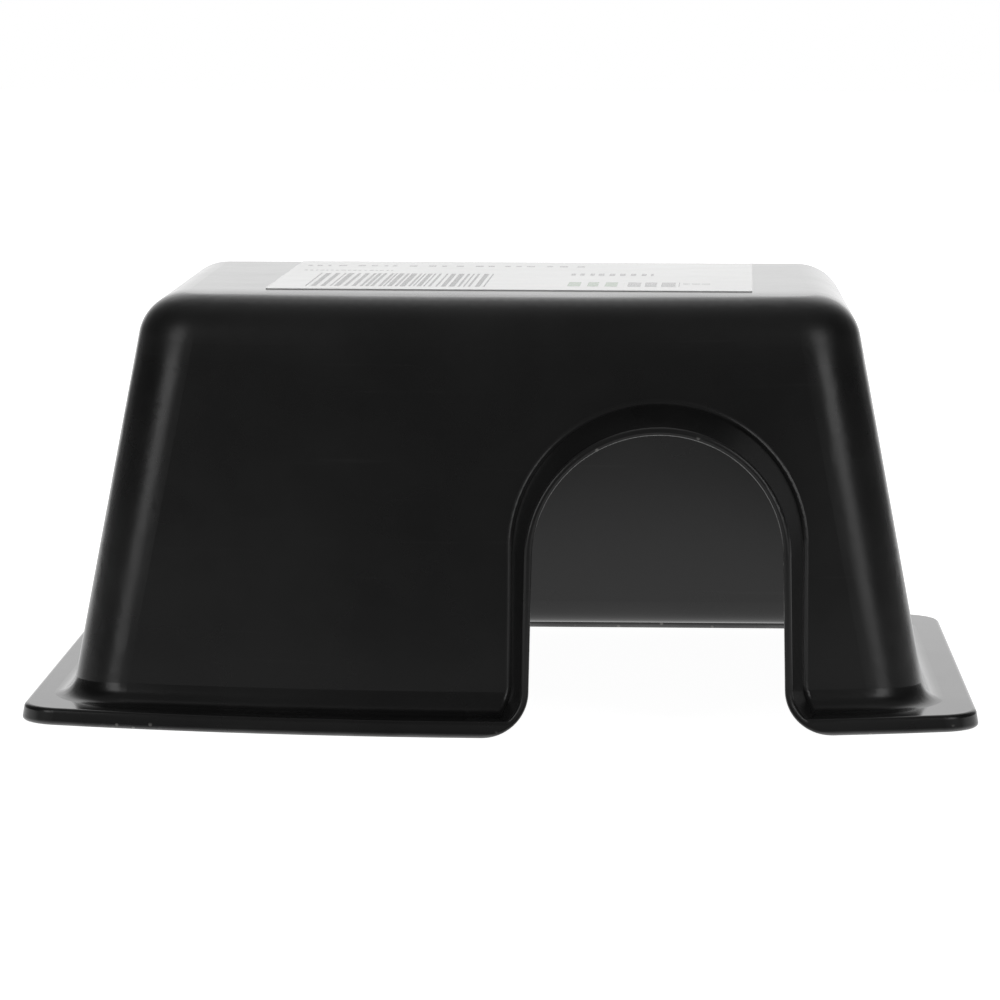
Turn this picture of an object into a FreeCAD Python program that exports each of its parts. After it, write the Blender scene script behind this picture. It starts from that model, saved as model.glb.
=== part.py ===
import FreeCAD, Part
import math
import os

# A small animal hide formed from one sheet of black plastic, with a paper label on its top.
# Frame: origin on the resting plane under the middle of the footprint, +Z up.
# The doorway is in the front wall, which faces -Y. Millimetres.

# Overall sizes
WIDTH = 156.0
DEPTH = 115.0
HEIGHT = 69.0
SHEET = 1.3

# The front is bowed outward: its middle stands this far ahead of its two ends
FRONT_BOW = 10.2

# Flange and its turned-down rim
RIM_HEIGHT = 2.8
RIM_LEAN = 0.18
FLANGE_SIDE = 7.6
FLANGE_ENDS = 7.6
FLANGE_CORNER = 7.3

# Walls: a little left of the flange's middle, lean per millimetre of height, and the roundings
BODY_CENTRE_X = -0.5
SIDE_LEAN = 0.190
END_LEAN = 0.065
WALL_CORNER_FRONT = 12.0
WALL_CORNER_BACK = 9.0
TOP_ROUNDING = 8.0
COVE = 3.6
EDGE_SOFTENING = 0.7

# Doorway: an arch, off centre to the right, whose edge stands forward as a tapering lip.
# Its sizes are those at the foremost point of the front.
DOOR_CENTRE_X = 25.2
DOOR_RADIUS = 19.35
DOOR_FOOT_SPREAD = 0.45
DOOR_SPRING = 28.85
DOOR_FOOT_ROUNDING = 7.6
LIP_LEAN = 0.26
LIP_COVE = 1.0
LIP_COVE_INSIDE = 1.3
CUT_SOFTENING = 0.5

# Label, stuck on by hand and so turned a little, in degrees
LABEL_WIDTH = 80.4
LABEL_DEPTH = 61.9
LABEL_SHEET = 0.15
LABEL_CENTRE_X = 1.5
LABEL_TURN = -1.3
LABEL_BACK_MARGIN = 1.1
LABEL_CORNER = 0.8

# Working values
CLEAR = 10.0
TINY = 0.01
FRONT_Y = -DEPTH / 2
BACK_Y = DEPTH / 2
BOW_RADIUS = ((WIDTH / 2) ** 2 + FRONT_BOW**2) / (2 * FRONT_BOW)
RIM_FLARE = RIM_HEIGHT * RIM_LEAN


def tapered_block(half_width, side_lean, end_inset, end_lean, low, high, corner, back_corner):
    """A block with leaning sides and a bowed front; its widths and insets are those at z = 0."""
    half_low = half_width - low * side_lean
    half_high = half_width - high * side_lean
    back_low = BACK_Y - end_inset - low * end_lean
    back_high = BACK_Y - end_inset - high * end_lean
    beyond = FRONT_Y - CLEAR
    wedge = Part.makeWedge(
        -half_low, low, -back_low, -back_high, -half_high, half_low, high, -beyond, -beyond, half_high
    )
    wedge.rotate(FreeCAD.Vector(0, 0, 0), FreeCAD.Vector(1, 0, 0), 90)
    # a leaning cylinder reaches a little further forward than its radius
    axis = FreeCAD.Vector(0, end_lean, 1)
    centre_y = FRONT_Y + end_inset + BOW_RADIUS * axis.Length
    start = FreeCAD.Vector(0, centre_y, 0) - axis * BOW_RADIUS
    round_front = Part.makeCylinder(BOW_RADIUS, 3 * BOW_RADIUS, start, axis)
    block = wedge.common(round_front)
    for radius, side in ((corner, -1), (back_corner, 1)):
        uprights = [e for e in block.Edges if spans(e, low, high) and e.CenterOfMass.y * side > 0]
        block = block.makeFillet(radius, uprights)
    return block


def spans(edge, low, high):
    """Whether an edge runs all the way from one height to another."""
    heights = [vertex.Z for vertex in edge.Vertexes]
    return min(heights) < low + TINY and max(heights) > high - TINY


def samples(edge):
    """A few points along an edge, or its ends alone where it has shrunk to a point."""
    if edge.Length < TINY:
        return [vertex.Point for vertex in edge.Vertexes]
    return edge.discretize(5)


def is_level(edge, height):
    """Whether an edge lies level at one height."""
    return all(abs(p.z - height) < TINY for p in samples(edge))


def behind_front(point):
    """How far a point lies behind the rim's bowed front edge."""
    return point.y - FRONT_Y - point.x**2 / (2 * BOW_RADIUS)


def is_inside_rim(point):
    """Whether a point is well inside the rim's outline."""
    margin = COVE / 2
    if abs(point.x) > WIDTH / 2 - margin or point.y > BACK_Y - margin:
        return False
    return behind_front(point) > margin


def body(inset):
    """The tapered body without its flange, moved inward by the sheet's thickness."""
    half_width = WIDTH / 2 - FLANGE_SIDE + RIM_HEIGHT * SIDE_LEAN - inset
    low = 0.0
    if inset > 0:
        low = -CLEAR
    high = HEIGHT - inset
    corners = (WALL_CORNER_FRONT - inset, WALL_CORNER_BACK - inset)
    block = tapered_block(half_width, SIDE_LEAN, FLANGE_ENDS + inset, END_LEAN, low, high, *corners)
    rounded = [e for e in block.Edges if is_level(e, high)]
    block = block.makeFillet(TOP_ROUNDING - inset, rounded)
    block.translate(FreeCAD.Vector(BODY_CENTRE_X, 0, 0))
    return block


def flange(inset):
    """The flange as a low slab under the walls, moved inward by the sheet's thickness."""
    low = 0.0
    if inset > 0:
        low = -CLEAR
    corners = (FLANGE_CORNER - inset, FLANGE_CORNER - inset)
    return tapered_block(WIDTH / 2 - inset, RIM_LEAN, inset, 0, low, RIM_HEIGHT - inset, *corners)


def walled(inset):
    """The body standing on its flange, with a cove round the walls' foot."""
    height = RIM_HEIGHT - inset
    form = body(inset).fuse(flange(inset)).removeSplitter()
    feet = [e for e in form.Edges if is_level(e, height) and all(is_inside_rim(p) for p in samples(e))]
    return form.makeFillet(COVE + inset, feet)


def arch_outline(y, growth):
    """The doorway's outline at one depth, moved outward: nearly upright sides, round head, flared feet."""
    radius = DOOR_RADIUS + growth + (y - FRONT_Y) * LIP_LEAN
    half_foot = radius + DOOR_FOOT_SPREAD
    flare = DOOR_FOOT_ROUNDING - growth
    crown = FreeCAD.Vector(0, 0, DOOR_SPRING + radius)
    springs = [FreeCAD.Vector(side * radius, 0, DOOR_SPRING) for side in (-1, 1)]
    soles = [FreeCAD.Vector(side * (half_foot + flare), 0, -CLEAR) for side in (-1, 1)]
    edges = [Part.Arc(springs[0], crown, springs[1]).toShape(), Part.makeLine(soles[1], soles[0])]
    for side, spring, sole in zip((-1, 1), springs, soles):
        knee = FreeCAD.Vector(side * half_foot, 0, DOOR_FOOT_ROUNDING)
        toe = FreeCAD.Vector(side * (half_foot + flare), 0, growth)
        slant = flare * math.sqrt(0.5)
        bend = FreeCAD.Vector(side * (half_foot + flare - slant), 0, DOOR_FOOT_ROUNDING - slant)
        edges += [Part.makeLine(spring, knee), Part.Arc(knee, bend, toe).toShape(), Part.makeLine(toe, sole)]
    outline = Part.Wire(Part.__sortEdges__(edges))
    outline.translate(FreeCAD.Vector(DOOR_CENTRE_X, y, 0))
    return outline


def arch(growth):
    """The doorway's space from ahead of the front to the middle of the box, widening inward."""
    return Part.makeLoft([arch_outline(y, growth) for y in (FRONT_Y - CLEAR, -CLEAR)], True, True)


def lies_on(edge, surface, reach):
    """Whether an edge keeps within a small distance of a surface."""
    return all(surface.distToShape(Part.Vertex(p))[0] < reach for p in samples(edge))


def sides_of(prism):
    """An upright prism's side faces, without its two ends."""
    return Part.makeShell([face for face in prism.Faces if face.BoundBox.ZLength > HEIGHT / 2])


def upright_plan():
    """The outline of the rim's top carried straight up and down: the lip is trimmed to it."""
    top = max(flange(0).Faces, key=lambda face: face.CenterOfMass.z)
    top.translate(FreeCAD.Vector(0, 0, -RIM_HEIGHT))
    return top.extrude(FreeCAD.Vector(0, 0, HEIGHT))


def rim_and_lip_edges(form, plan_side):
    """The outer edges of the rim's top and of the lip's front, as one chain."""
    found = []
    for edge in form.Edges:
        lowest = min(p.z for p in samples(edge))
        if lowest > RIM_HEIGHT - TINY and lies_on(edge, plan_side, EDGE_SOFTENING / 2):
            found.append(edge)
    return found


def lip_roots(form, walls, passage, plan_side, lowest):
    """The hollow edges where the doorway's passage meets the walls and their flange."""
    passage_side = Part.makeShell([face for face in passage.Faces if face.BoundBox.YLength > CLEAR])
    found = []
    for edge in form.Edges:
        if max(p.z for p in samples(edge)) < TINY or lies_on(edge, plan_side, TINY):
            continue
        if min(p.z for p in samples(edge)) < lowest - TINY:
            continue
        if lies_on(edge, passage_side, TINY) and lies_on(edge, walls.Solids[0].Shells[0], TINY):
            found.append(edge)
    return found


def outer_form(plan):
    """The whole shape of the sheet's outer face, as a solid."""
    walls = walled(0)
    passage = arch(SHEET)
    form = walls.fuse(passage.common(plan)).removeSplitter()
    roots = lip_roots(form, walls, passage, sides_of(plan), 0)
    form = form.makeFillet(LIP_COVE, roots)
    return form.makeFillet(EDGE_SOFTENING, rim_and_lip_edges(form, sides_of(plan)))


def inner_form(plan, doorway):
    """The whole shape of the sheet's inner face and of the doorway, as a solid."""
    walls = walled(SHEET)
    form = walls.fuse(doorway).removeSplitter()
    roots = lip_roots(form, walls, doorway, sides_of(plan), RIM_HEIGHT - SHEET)
    return form.makeFillet(LIP_COVE_INSIDE, roots)


def cut_edges(shell, plan, doorway):
    """The front edges of the trimmed sheet: round the doorway and along the rim's foot."""
    plan_side = sides_of(plan)
    door_side = doorway.Shells[0]
    found = []
    for edge in shell.Edges:
        round_door = lies_on(edge, door_side, TINY) and lies_on(edge, plan_side, RIM_FLARE)
        points = samples(edge)
        outermost = not any(is_inside_rim(p) for p in points) and lies_on(edge, plan_side, RIM_FLARE + TINY)
        if round_door or (is_level(edge, 0) and outermost):
            found.append(edge)
    return found


def largest(solids):
    """The solid that holds the most material."""
    return max(solids, key=lambda solid: solid.Volume)


def hide_shell():
    """The formed sheet: walls, top, flange, rim and the doorway's lip in one piece."""
    plan = upright_plan()
    doorway = arch(0)
    sheet = largest(outer_form(plan).cut(inner_form(plan, doorway)).Solids)
    return sheet.makeFillet(CUT_SOFTENING, cut_edges(sheet, plan, doorway)).Solids[0]


def top_label():
    """The paper label, flat on the top, its back edge near the top's back rounding."""
    back_wall_y = BACK_Y - FLANGE_ENDS - HEIGHT * END_LEAN
    flat_back_y = back_wall_y - TOP_ROUNDING * math.tan(math.pi / 4 - math.atan(END_LEAN) / 2)
    label = Part.makeBox(LABEL_WIDTH, LABEL_DEPTH, LABEL_SHEET)
    uprights = [e for e in label.Edges if spans(e, 0, LABEL_SHEET)]
    label = label.makeFillet(LABEL_CORNER, uprights)
    label.rotate(FreeCAD.Vector(LABEL_WIDTH / 2, LABEL_DEPTH / 2, 0), FreeCAD.Vector(0, 0, 1), LABEL_TURN)
    front_y = flat_back_y - LABEL_BACK_MARGIN - LABEL_DEPTH
    label.translate(FreeCAD.Vector(LABEL_CENTRE_X - LABEL_WIDTH / 2, front_y, HEIGHT))
    return label


def main():
    os.makedirs("parts", exist_ok=True)
    hide_shell().exportStep("parts/hide_shell.step")
    top_label().exportStep("parts/top_label.step")


main()
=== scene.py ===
import math
import random

import bmesh
import bpy
from mathutils import Matrix, Vector


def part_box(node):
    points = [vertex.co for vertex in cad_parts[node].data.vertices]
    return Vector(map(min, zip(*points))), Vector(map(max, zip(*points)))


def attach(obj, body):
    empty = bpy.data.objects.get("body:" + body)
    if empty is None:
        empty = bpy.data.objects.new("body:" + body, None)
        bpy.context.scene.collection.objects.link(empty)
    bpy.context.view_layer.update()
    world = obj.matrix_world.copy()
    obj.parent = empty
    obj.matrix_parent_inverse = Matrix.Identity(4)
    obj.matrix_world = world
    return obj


# A black plastic animal hide with a paper label on its top. Metres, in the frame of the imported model:
# +Z up, the doorway's wall faces -Y.

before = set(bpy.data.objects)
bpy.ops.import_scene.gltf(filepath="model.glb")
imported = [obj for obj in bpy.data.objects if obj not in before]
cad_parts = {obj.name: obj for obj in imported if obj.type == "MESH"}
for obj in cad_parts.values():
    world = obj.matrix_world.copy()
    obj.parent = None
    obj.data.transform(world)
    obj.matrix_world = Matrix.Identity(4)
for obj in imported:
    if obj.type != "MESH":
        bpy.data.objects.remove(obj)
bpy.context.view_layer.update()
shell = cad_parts["hide_shell"]
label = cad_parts["top_label"]
SHELL_LOW, SHELL_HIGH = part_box("hide_shell")
LABEL_LOW, LABEL_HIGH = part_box("top_label")

MM = 0.001

# The doorway's arch, as the shell has it
DOOR_CENTRE_X = 25.2 * MM
DOOR_RADIUS = 19.7 * MM
DOOR_SPRING = 28.85 * MM
LIP_BACK_Y = -50.0 * MM
SHEET = 1.3 * MM

# The arc in which the front bows, seen from above
BOW_RADIUS = 299.5 * MM


# ---------------------------------------------------------------- node helpers

def new_material(name):
    material = bpy.data.materials.new(name)
    material.use_nodes = True
    material.node_tree.nodes.clear()
    return material


def grey(value):
    return (value, value, value, 1.0)


class Nodes:
    """Short calls to add and join shader nodes."""

    def __init__(self, tree):
        self.tree = tree

    def add(self, kind, **settings):
        node = self.tree.nodes.new(kind)
        for key, value in settings.items():
            setattr(node, key, value)
        return node

    def link(self, source, target):
        self.tree.links.new(source, target)

    def fill(self, node, values):
        for key, value in values.items():
            if isinstance(value, bpy.types.NodeSocket):
                self.link(value, node.inputs[key])
            else:
                node.inputs[key].default_value = value

    def place(self):
        """The surface's own coordinates, in metres."""
        return self.add("ShaderNodeTexCoord").outputs["Object"]

    def axes(self, vector):
        node = self.add("ShaderNodeSeparateXYZ")
        self.link(vector, node.inputs[0])
        return node.outputs

    def math(self, operation, a, b=0.0):
        node = self.add("ShaderNodeMath", operation=operation)
        self.fill(node, {0: a, 1: b})
        return node.outputs[0]

    def noise(self, vector, scale, detail=3.0, roughness=0.5):
        node = self.add("ShaderNodeTexNoise")
        self.fill(node, {"Vector": vector, "Scale": scale, "Detail": detail, "Roughness": roughness})
        return node.outputs["Fac"]

    def specks(self, vector, scale, size, share):
        """Small round spots of a given size in one cell out of so many, each white at its middle."""
        node = self.add("ShaderNodeTexVoronoi", feature="F1")
        self.fill(node, {"Vector": vector, "Scale": scale})
        spot = self.range(node.outputs["Distance"], size, 0.5 * size, 0.0, 1.0)
        chance = self.axes(node.outputs["Color"])[0]
        return self.math("MULTIPLY", spot, self.math("LESS_THAN", chance, share))

    def range(self, value, low, high, to_low, to_high):
        node = self.add("ShaderNodeMapRange", clamp=True)
        self.fill(node, {0: value, 1: low, 2: high, 3: to_low, 4: to_high})
        return node.outputs[0]

    def mix(self, factor, a, b):
        node = self.add("ShaderNodeMix", data_type="RGBA")
        self.fill(node, {0: factor, 6: a, 7: b})
        return node.outputs[2]

    def stretch(self, vector, scale):
        node = self.add("ShaderNodeMapping")
        self.fill(node, {"Vector": vector, "Scale": scale})
        return node.outputs[0]

    def bump(self, height, strength, distance, normal=None):
        node = self.add("ShaderNodeBump")
        self.fill(node, {"Height": height, "Strength": strength, "Distance": distance})
        if normal is not None:
            self.link(normal, node.inputs["Normal"])
        return node.outputs[0]

    def glow(self, strength):
        node = self.add("ShaderNodeEmission")
        self.fill(node, {"Color": grey(1.0), "Strength": strength})
        return node.outputs[0]

    def surface(self, shader):
        self.link(shader, self.add("ShaderNodeOutputMaterial").inputs[0])

    def principled(self, **values):
        shader = self.add("ShaderNodeBsdfPrincipled")
        self.fill(shader, {key.replace("_", " "): value for key, value in values.items()})
        self.surface(shader.outputs[0])


# ---------------------------------------------------------------- materials

PLASTIC_DEEP = grey(0.0050)
PLASTIC_SMUDGED = grey(0.0108)
PLASTIC_SCUFFED = grey(0.03)
# Pale grey painted on the rim's foot as a reflection of the white table
PLASTIC_TABLE_REFLECTION = grey(0.20)
DUST = (0.42, 0.41, 0.39, 1.0)
PAPER_SHADE = (0.84, 0.84, 0.83, 1.0)
PAPER_WHITE = (0.89, 0.89, 0.885, 1.0)
REFRACTION = 1.5


def near_cut_edge(n, place):
    """White close to the trimmed edges: along the rim's foot and round the doorway."""
    x, y, z = n.axes(place)
    foot = n.range(z, SHEET, 0.6 * MM, 0.0, 1.0)
    across = n.math("SUBTRACT", x, DOOR_CENTRE_X)
    above = n.math("MAXIMUM", n.math("SUBTRACT", z, DOOR_SPRING), 0.0)
    reach = n.math("SQRT", n.math("ADD", n.math("POWER", across, 2.0), n.math("POWER", above, 2.0)))
    beyond = n.math("ABSOLUTE", n.math("SUBTRACT", reach, DOOR_RADIUS))
    doorway = n.range(beyond, 1.0 * MM, 0.4 * MM, 0.0, 1.0)
    doorway = n.math("MULTIPLY", doorway, n.math("LESS_THAN", y, LIP_BACK_Y))
    return n.math("MAXIMUM", foot, doorway)


def black_plastic():
    """Formed black sheet: satin, faintly mottled, a little dusty, specked where it is cut, with a painted
    reflection of the white table as a paler band along the rim's foot.
    """
    material = new_material("shell_plastic_black")
    n = Nodes(material.node_tree)
    place = n.place()
    x, y, z = n.axes(place)
    mottle = n.noise(place, 70.0, 4.0, 0.6)
    cloud = n.noise(place, 24.0, 3.0)

    smudges = n.math("ADD", n.math("MULTIPLY", mottle, 0.4), n.math("MULTIPLY", cloud, 0.6))
    body = n.mix(n.range(smudges, 0.38, 0.62, 0.0, 1.0), PLASTIC_DEEP, PLASTIC_SMUDGED)
    streaks = n.noise(n.stretch(place, (30.0, 30.0, 900.0)), 1.0, 3.0, 0.6)
    scuffs = n.range(streaks, 0.66, 0.76, 0.0, 0.25)
    body = n.mix(scuffs, body, PLASTIC_SCUFFED)
    # Painted reflection: the lowest 0.8 mm of the rim is mixed towards pale grey, standing in for the white
    # table mirrored in its rounded cut edge.
    foot = n.range(z, 0.8 * MM, 0.1 * MM, 0.0, 1.0)
    body = n.mix(n.math("MULTIPLY", foot, n.range(mottle, 0.3, 0.6, 0.5, 1.0)), body, PLASTIC_TABLE_REFLECTION)
    burrs = n.math("MULTIPLY", n.specks(place, 750.0, 0.36, 0.12), near_cut_edge(n, place))
    dust = n.math("MAXIMUM", n.specks(place, 130.0, 0.024, 0.12), burrs)

    # Glossier where it is seen at a slant, duller on the top towards the front and where dust lies
    turned_away = n.add("ShaderNodeLayerWeight")
    turned_away.inputs["Blend"].default_value = 0.5
    roughness = n.range(turned_away.outputs["Facing"], 0.55, 0.92, 0.28, 0.10)
    roughness = n.math("ADD", roughness, n.range(cloud, 0.3, 0.7, -0.02, 0.02))
    roughness = n.math("ADD", roughness, n.range(mottle, 0.3, 0.7, -0.02, 0.02))
    near_front = n.range(y, -0.022, -0.036, 0.0, 0.16)
    roughness = n.math("ADD", roughness, n.math("MULTIPLY", near_front, n.range(z, 0.058, 0.067, 0.0, 1.0)))
    roughness = n.math("ADD", roughness, n.math("MULTIPLY", dust, 0.4))

    rippled = n.bump(n.noise(place, 110.0, 1.0), 0.05, 0.0004)
    n.principled(
        Base_Color=n.mix(n.math("MULTIPLY", dust, 0.75), body, DUST),
        Roughness=roughness,
        IOR=REFRACTION,
        Normal=n.bump(n.noise(place, 1100.0, 2.0), 0.12, 0.00003, rippled),
    )
    return material


def label_paper():
    """Coated white paper: smooth, very slightly uneven in colour and gloss."""
    material = new_material("label_paper_white")
    n = Nodes(material.node_tree)
    place = n.place()
    fibre = n.noise(place, 1500.0, 3.0)
    cloud = n.noise(place, 60.0, 2.0)
    uneven = n.math("ADD", n.math("MULTIPLY", fibre, 0.5), n.math("MULTIPLY", cloud, 0.5))
    n.principled(
        Base_Color=n.mix(n.range(uneven, 0.35, 0.65, 0.0, 1.0), PAPER_SHADE, PAPER_WHITE),
        Roughness=n.range(cloud, 0.3, 0.7, 0.14, 0.19),
        IOR=REFRACTION,
        Normal=n.bump(fibre, 0.06, 0.00002),
    )
    return material


def ink(name, light, dark):
    """Printing ink: a thin film, patchy where the paper shows through."""
    material = new_material(name)
    n = Nodes(material.node_tree)
    patches = n.noise(n.place(), 2600.0, 3.0, 0.6)
    n.principled(
        Base_Color=n.mix(n.range(patches, 0.35, 0.65, 0.0, 1.0), dark, light),
        Roughness=n.range(patches, 0.3, 0.7, 0.16, 0.24),
        IOR=REFRACTION,
    )
    return material


def assign(node, material):
    node.data.materials.clear()
    node.data.materials.append(material)


assign(shell, black_plastic())
assign(label, label_paper())


# ---------------------------------------------------------------- label's print

# Places on the label are in millimetres from its front left corner, before it is turned
LABEL_SIZE = Vector((80.4, 61.9)) * MM
LABEL_TURN = math.radians(-1.3)
FILM = 0.01 * MM
SUNK = 0.05 * MM
DARK_INK, GREY_INK, GREEN_INK = range(3)


def slab(mesh, ink_number, left, right, front, back):
    """A thin closed block of ink, sunk into the paper, its top just proud of it."""
    centre = (LABEL_LOW + LABEL_HIGH) / 2
    top = LABEL_HIGH.z + FILM
    turn = Matrix.Rotation(LABEL_TURN, 2)
    corners = []
    for x, y in ((left, front), (right, front), (right, back), (left, back)):
        flat = turn @ (Vector((x, y)) * MM - LABEL_SIZE / 2)
        corners.append((centre.x + flat.x, centre.y + flat.y))
    low = [mesh.verts.new((x, y, top - FILM - SUNK)) for x, y in corners]
    high = [mesh.verts.new((x, y, top)) for x, y in corners]
    faces = [mesh.faces.new(high), mesh.faces.new(low[::-1])]
    for i in range(4):
        j = (i + 1) % 4
        faces.append(mesh.faces.new((low[i], low[j], high[j], high[i])))
    for face in faces:
        face.material_index = ink_number


def label_print():
    """Plain marks in the places of the label's print, as one piece."""
    dice = random.Random(4)
    mesh = bmesh.new()

    def row(ink_number, across, along, widths, gaps):
        """Small blocks of uneven width along a line."""
        left, right = across
        while left < right:
            width = dice.uniform(*widths)
            slab(mesh, ink_number, left, min(left + width, right), *along)
            left += width + dice.uniform(*gaps)

    # A headline, a small line, bars, a size word, and a mark in two colours with a tail
    row(GREY_INK, across=(2.0, 51.0), along=(50.4, 52.4), widths=(0.5, 1.5), gaps=(0.7, 2.4))
    row(GREY_INK, across=(2.4, 17.9), along=(39.8, 41.0), widths=(0.3, 0.8), gaps=(0.3, 0.6))
    row(DARK_INK, across=(6.0, 36.3), along=(6.0, 33.8), widths=(0.25, 0.95), gaps=(0.3, 0.8))
    row(GREY_INK, across=(49.3, 63.5), along=(31.5, 36.0), widths=(0.7, 1.0), gaps=(0.7, 1.0))
    row(GREEN_INK, across=(49.6, 59.0), along=(8.0, 17.0), widths=(1.6, 2.2), gaps=(0.9, 1.2))
    row(GREY_INK, across=(59.6, 68.3), along=(8.0, 17.0), widths=(1.8, 2.4), gaps=(0.5, 0.8))
    row(GREY_INK, across=(68.8, 73.6), along=(13.9, 14.9), widths=(0.8, 1.4), gaps=(0.3, 0.5))

    data = bpy.data.meshes.new("label_print")
    mesh.to_mesh(data)
    mesh.free()
    data.materials.append(ink("ink_dark", grey(0.10), grey(0.05)))
    data.materials.append(ink("ink_grey", grey(0.42), grey(0.30)))
    data.materials.append(ink("ink_green", (0.40, 0.52, 0.38, 1.0), (0.30, 0.44, 0.29, 1.0)))
    piece = bpy.data.objects.new("label_print", data)
    bpy.context.scene.collection.objects.link(piece)
    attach(piece, "root")


label_print()


# ---------------------------------------------------------------- stage

# Glowing cards are mirrored in the gloss but hidden from the camera, which sees only the floor
FLOOR_HALF = 3.0
FLOOR_LEVEL = -0.05 * MM
TABLE_LEVEL = -0.4 * MM
TABLE_SIDE = 0.6
TABLE_BACK = 0.8
TABLE_FRONT = -0.17
TABLE_AHEAD = 1.6 * MM
APRON_AHEAD = 4 * MM
APRON_FULL = 45 * MM
BACKDROP_SIDE = 1.1
BACKDROP_TOP = 1.7
BACKDROP_STRENGTH = 1.08
CEILING_SIDE = 0.7
FLAG_X = 0.6
FLAG_TOP = 0.7
FLAG_FRONT = -0.30
FLAG_BACK = 0.35
SOFTBOX_AZIMUTH = 52
ROOM_LIGHT = 0.155


def card(name, corners, material, **seen_by):
    """A flat stage piece, seen only by the kinds of ray that are named."""
    mesh = bpy.data.meshes.new(name)
    mesh.from_pydata(corners, [], [tuple(range(len(corners)))])
    piece = bpy.data.objects.new(name, mesh)
    bpy.context.scene.collection.objects.link(piece)
    mesh.materials.append(material)
    for kind in ("camera", "glossy", "diffuse", "transmission", "shadow"):
        setattr(piece, "visible_" + kind, seen_by.get(kind, False))


def rectangle(low, high):
    """Corners of a rectangle between two opposite corners that agree in one coordinate."""
    first, second = [axis for axis in range(3) if low[axis] != high[axis]]
    corners = []
    for a, b in ((low, low), (high, low), (high, high), (low, high)):
        corner = list(low)
        corner[first] = a[first]
        corner[second] = b[second]
        corners.append(corner)
    return corners


def front_line(ahead):
    """Points along a line a given distance ahead of the object's bowed front, from left to right."""
    half = SHELL_HIGH.x
    start = SHELL_LOW.y - ahead
    steps = 24
    points = []
    for i in range(steps + 1):
        x = -half + 2 * half * i / steps
        points.append((x, start + BOW_RADIUS - math.sqrt(BOW_RADIUS**2 - x**2)))
    end = points[0][1]
    return [(-TABLE_SIDE, end)] + points + [(TABLE_SIDE, end)]


def emission(name, strength):
    material = new_material(name)
    n = Nodes(material.node_tree)
    n.surface(n.glow(strength))
    return material


def floor_material():
    """A pale, evenly lit floor on which only a faint shadow shows."""
    material = new_material("floor_white")
    n = Nodes(material.node_tree)
    lit = n.add("ShaderNodeBsdfDiffuse")
    n.fill(lit, {"Color": grey(0.5)})
    both = n.add("ShaderNodeAddShader")
    n.link(lit.outputs[0], both.inputs[0])
    n.link(n.glow(0.97), both.inputs[1])
    n.surface(both.outputs[0])
    return material


def backdrop_material():
    """Light that is even low down and fades softly towards the backdrop's top and sides."""
    material = new_material("backdrop_light")
    n = Nodes(material.node_tree)
    x, y, z = n.axes(n.place())
    upward = n.range(z, 0.95, BACKDROP_TOP, 1.0, 0.42)
    sideways = n.range(n.math("ABSOLUTE", x), 0.36, 0.70, 1.0, 0.15)
    n.surface(n.glow(n.math("MULTIPLY", n.math("MULTIPLY", upward, sideways), BACKDROP_STRENGTH)))
    return material


def apron_material():
    """The table's light ahead of the object, growing softly from the bowed front outwards."""
    material = new_material("apron_light")
    n = Nodes(material.node_tree)
    x, y, z = n.axes(n.place())
    across = n.math("POWER", x, 2.0)
    along = n.math("POWER", n.math("SUBTRACT", y, SHELL_LOW.y + BOW_RADIUS), 2.0)
    ahead = n.math("SUBTRACT", n.math("SQRT", n.math("ADD", across, along)), BOW_RADIUS)
    n.surface(n.glow(n.range(ahead, APRON_AHEAD, APRON_FULL, 0.10, 0.62)))
    return material


def build_cards():
    corners = rectangle((-FLOOR_HALF, -FLOOR_HALF, FLOOR_LEVEL), (FLOOR_HALF, FLOOR_HALF, FLOOR_LEVEL))
    card("floor", corners, floor_material(), camera=True)
    outline = front_line(TABLE_AHEAD) + [(TABLE_SIDE, TABLE_BACK), (-TABLE_SIDE, TABLE_BACK)]
    corners = [(x, y, TABLE_LEVEL) for x, y in outline]
    card("table_glow", corners, emission("table_light", 0.9), glossy=True, diffuse=True)
    outline = [(-TABLE_SIDE, TABLE_FRONT), (TABLE_SIDE, TABLE_FRONT)] + front_line(APRON_AHEAD)[::-1]
    corners = [(x, y, TABLE_LEVEL) for x, y in outline]
    card("apron_glow", corners, apron_material(), glossy=True, diffuse=True)
    corners = rectangle((-BACKDROP_SIDE, TABLE_BACK, 0.0), (BACKDROP_SIDE, TABLE_BACK, BACKDROP_TOP))
    card("backdrop_glow", corners, backdrop_material(), glossy=True, diffuse=True)
    corners = rectangle((-CEILING_SIDE, 0.0, BACKDROP_TOP), (CEILING_SIDE, TABLE_BACK, BACKDROP_TOP))
    card("ceiling_glow", corners, emission("ceiling_light", 0.36), glossy=True, diffuse=True)
    dark = emission("flag_dark", 0.04)
    for name, x in (("flag_left", -FLAG_X), ("flag_right", FLAG_X)):
        card(name, rectangle((x, FLAG_FRONT, 0.0), (x, FLAG_BACK, FLAG_TOP)), dark, glossy=True)


def area_light(name, width, tall, radiance):
    """A rectangular soft light of an even radiance, unseen by the camera."""
    data = bpy.data.lights.new(name, "AREA")
    data.shape = "RECTANGLE"
    data.size = width
    data.size_y = tall
    data.energy = radiance * math.pi * width * tall
    piece = bpy.data.objects.new(name, data)
    bpy.context.scene.collection.objects.link(piece)
    piece.visible_camera = False
    return piece


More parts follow.
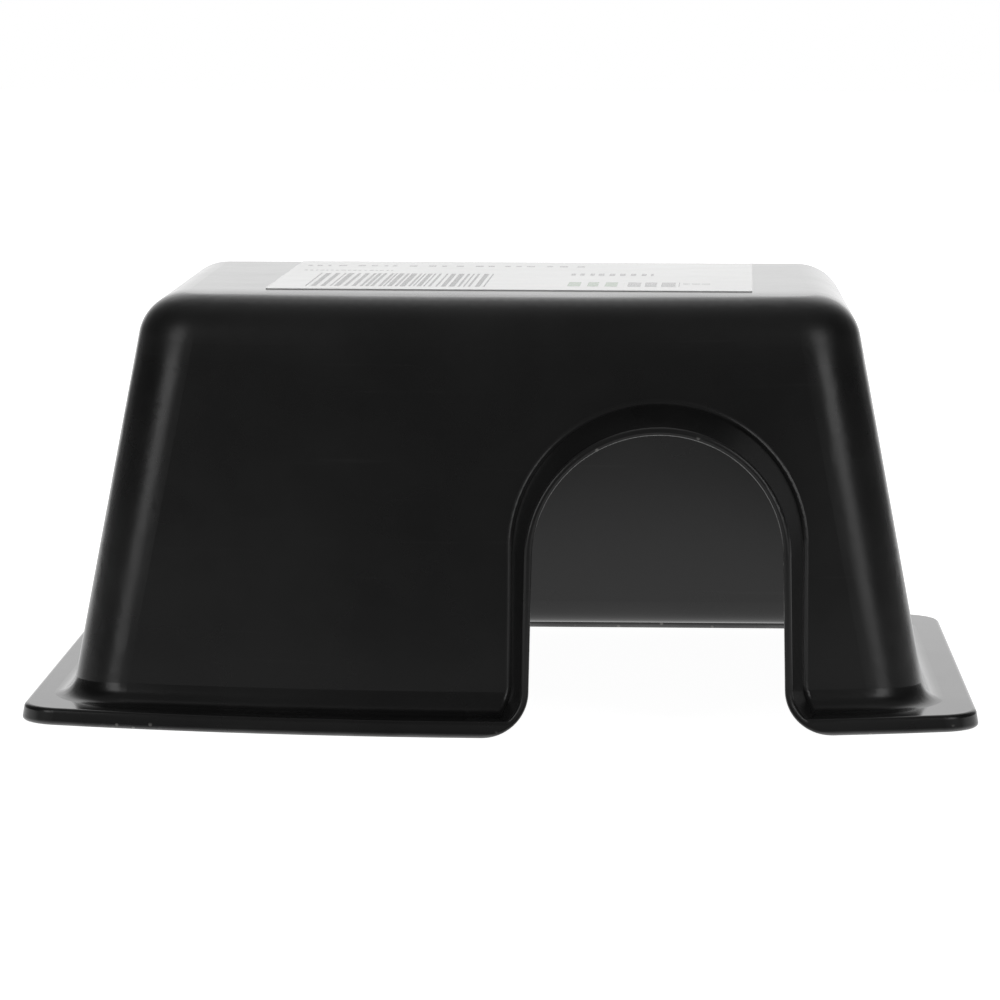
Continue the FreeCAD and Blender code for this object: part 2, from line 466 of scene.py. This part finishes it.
def softbox(name, azimuth):
    """An upright soft light, azimuth in degrees from -Y towards +X, facing the object."""
    piece = area_light(name, 0.40, 0.80, 2.0)
    distance = 1.2
    angle = math.radians(azimuth)
    piece.location = (distance * math.sin(angle), -distance * math.cos(angle), 0.42)
    aim = Vector((0, 0, 0.03)) - piece.location
    piece.rotation_euler = aim.to_track_quat("-Z", "Y").to_euler()


def overhead():
    """A broad soft light above, which isn't mirrored in the gloss."""
    piece = area_light("overhead", 0.8, 0.8, 0.9)
    piece.location = (0, 0, 0.9)
    piece.visible_glossy = False


def make_world():
    """White where the camera sees it, and a dim room for everything else."""
    world = bpy.data.worlds.new("studio")
    bpy.context.scene.world = world
    world.use_nodes = True
    world.node_tree.nodes.clear()
    n = Nodes(world.node_tree)
    mix = n.add("ShaderNodeMixShader")
    n.link(n.add("ShaderNodeLightPath").outputs["Is Camera Ray"], mix.inputs[0])
    for slot, strength in ((1, ROOM_LIGHT), (2, 1.0)):
        background = n.add("ShaderNodeBackground")
        n.fill(background, {"Color": grey(1.0), "Strength": strength})
        n.link(background.outputs[0], mix.inputs[slot])
    output = n.add("ShaderNodeOutputWorld")
    n.link(mix.outputs[0], output.inputs[0])


build_cards()
softbox("softbox_left", -SOFTBOX_AZIMUTH)
softbox("softbox_right", SOFTBOX_AZIMUTH)
overhead()
make_world()
bpy.context.scene.view_settings.view_transform = "Standard"


# ---------------------------------------------------------------- camera

CAMERA_PLACE = Vector((0.02372, -0.72970, 0.12540))
CAMERA_YAW = 0.03429
CAMERA_PITCH = 0.12864
CAMERA_ROLL = -0.00180
SENSOR = 36.0
FOCAL_SHARE = 4.2872


def make_camera():
    data = bpy.data.cameras.new("camera")
    data.sensor_width = SENSOR
    data.lens = SENSOR * FOCAL_SHARE
    data.clip_start = 0.01
    camera = bpy.data.objects.new("camera", data)
    bpy.context.scene.collection.objects.link(camera)
    turn = Matrix.Rotation(CAMERA_YAW, 4, "Z") @ Matrix.Rotation(math.pi / 2 - CAMERA_PITCH, 4, "X")
    camera.matrix_world = Matrix.Translation(CAMERA_PLACE) @ turn @ Matrix.Rotation(-CAMERA_ROLL, 4, "Z")
    bpy.context.scene.camera = camera


make_camera()
